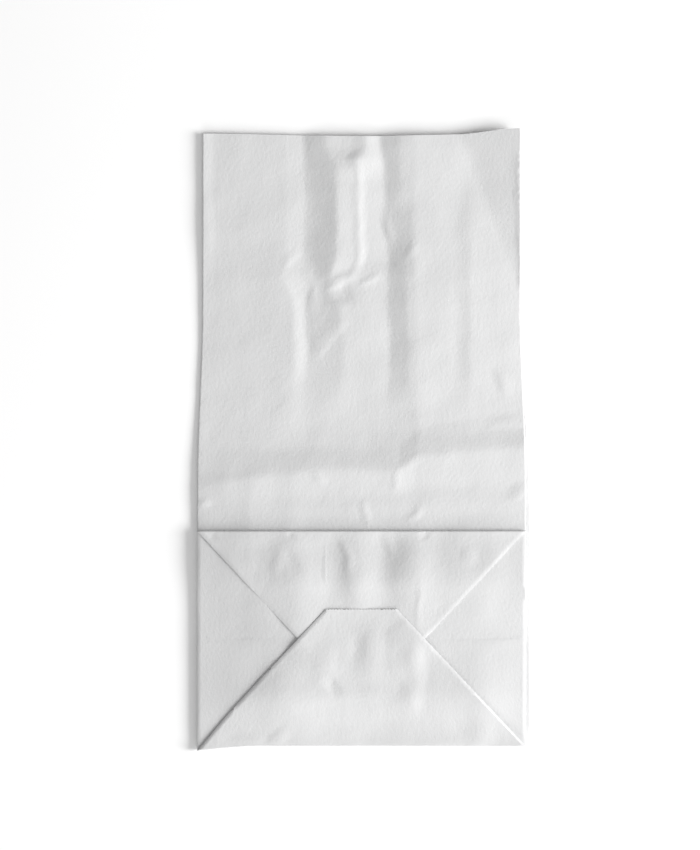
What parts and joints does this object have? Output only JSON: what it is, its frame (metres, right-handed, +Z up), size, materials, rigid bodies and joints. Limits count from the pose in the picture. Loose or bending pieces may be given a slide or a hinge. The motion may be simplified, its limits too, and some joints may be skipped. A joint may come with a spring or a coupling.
{
  "type": "sick bag",
  "caption": "Flat-folded white paper sick bag: a gusseted tube with its block bottom turned up over the front, to be opened and stood up.",
  "frame": {"origin": "under the middle of the folded bag, on the surface that it lies on", "axes": "+Z up out of that surface, +Y toward the bag's mouth, +X across it to the right as seen from above"},
  "size_m": [0.1288, 0.2406, 0.0039],
  "materials": {
    "white_paper": "matt uncoated white paper, lightly creased"
  },
  "bodies": {
    "root": {"paper_bag": "white_paper"}
  },
  "joints": []
}
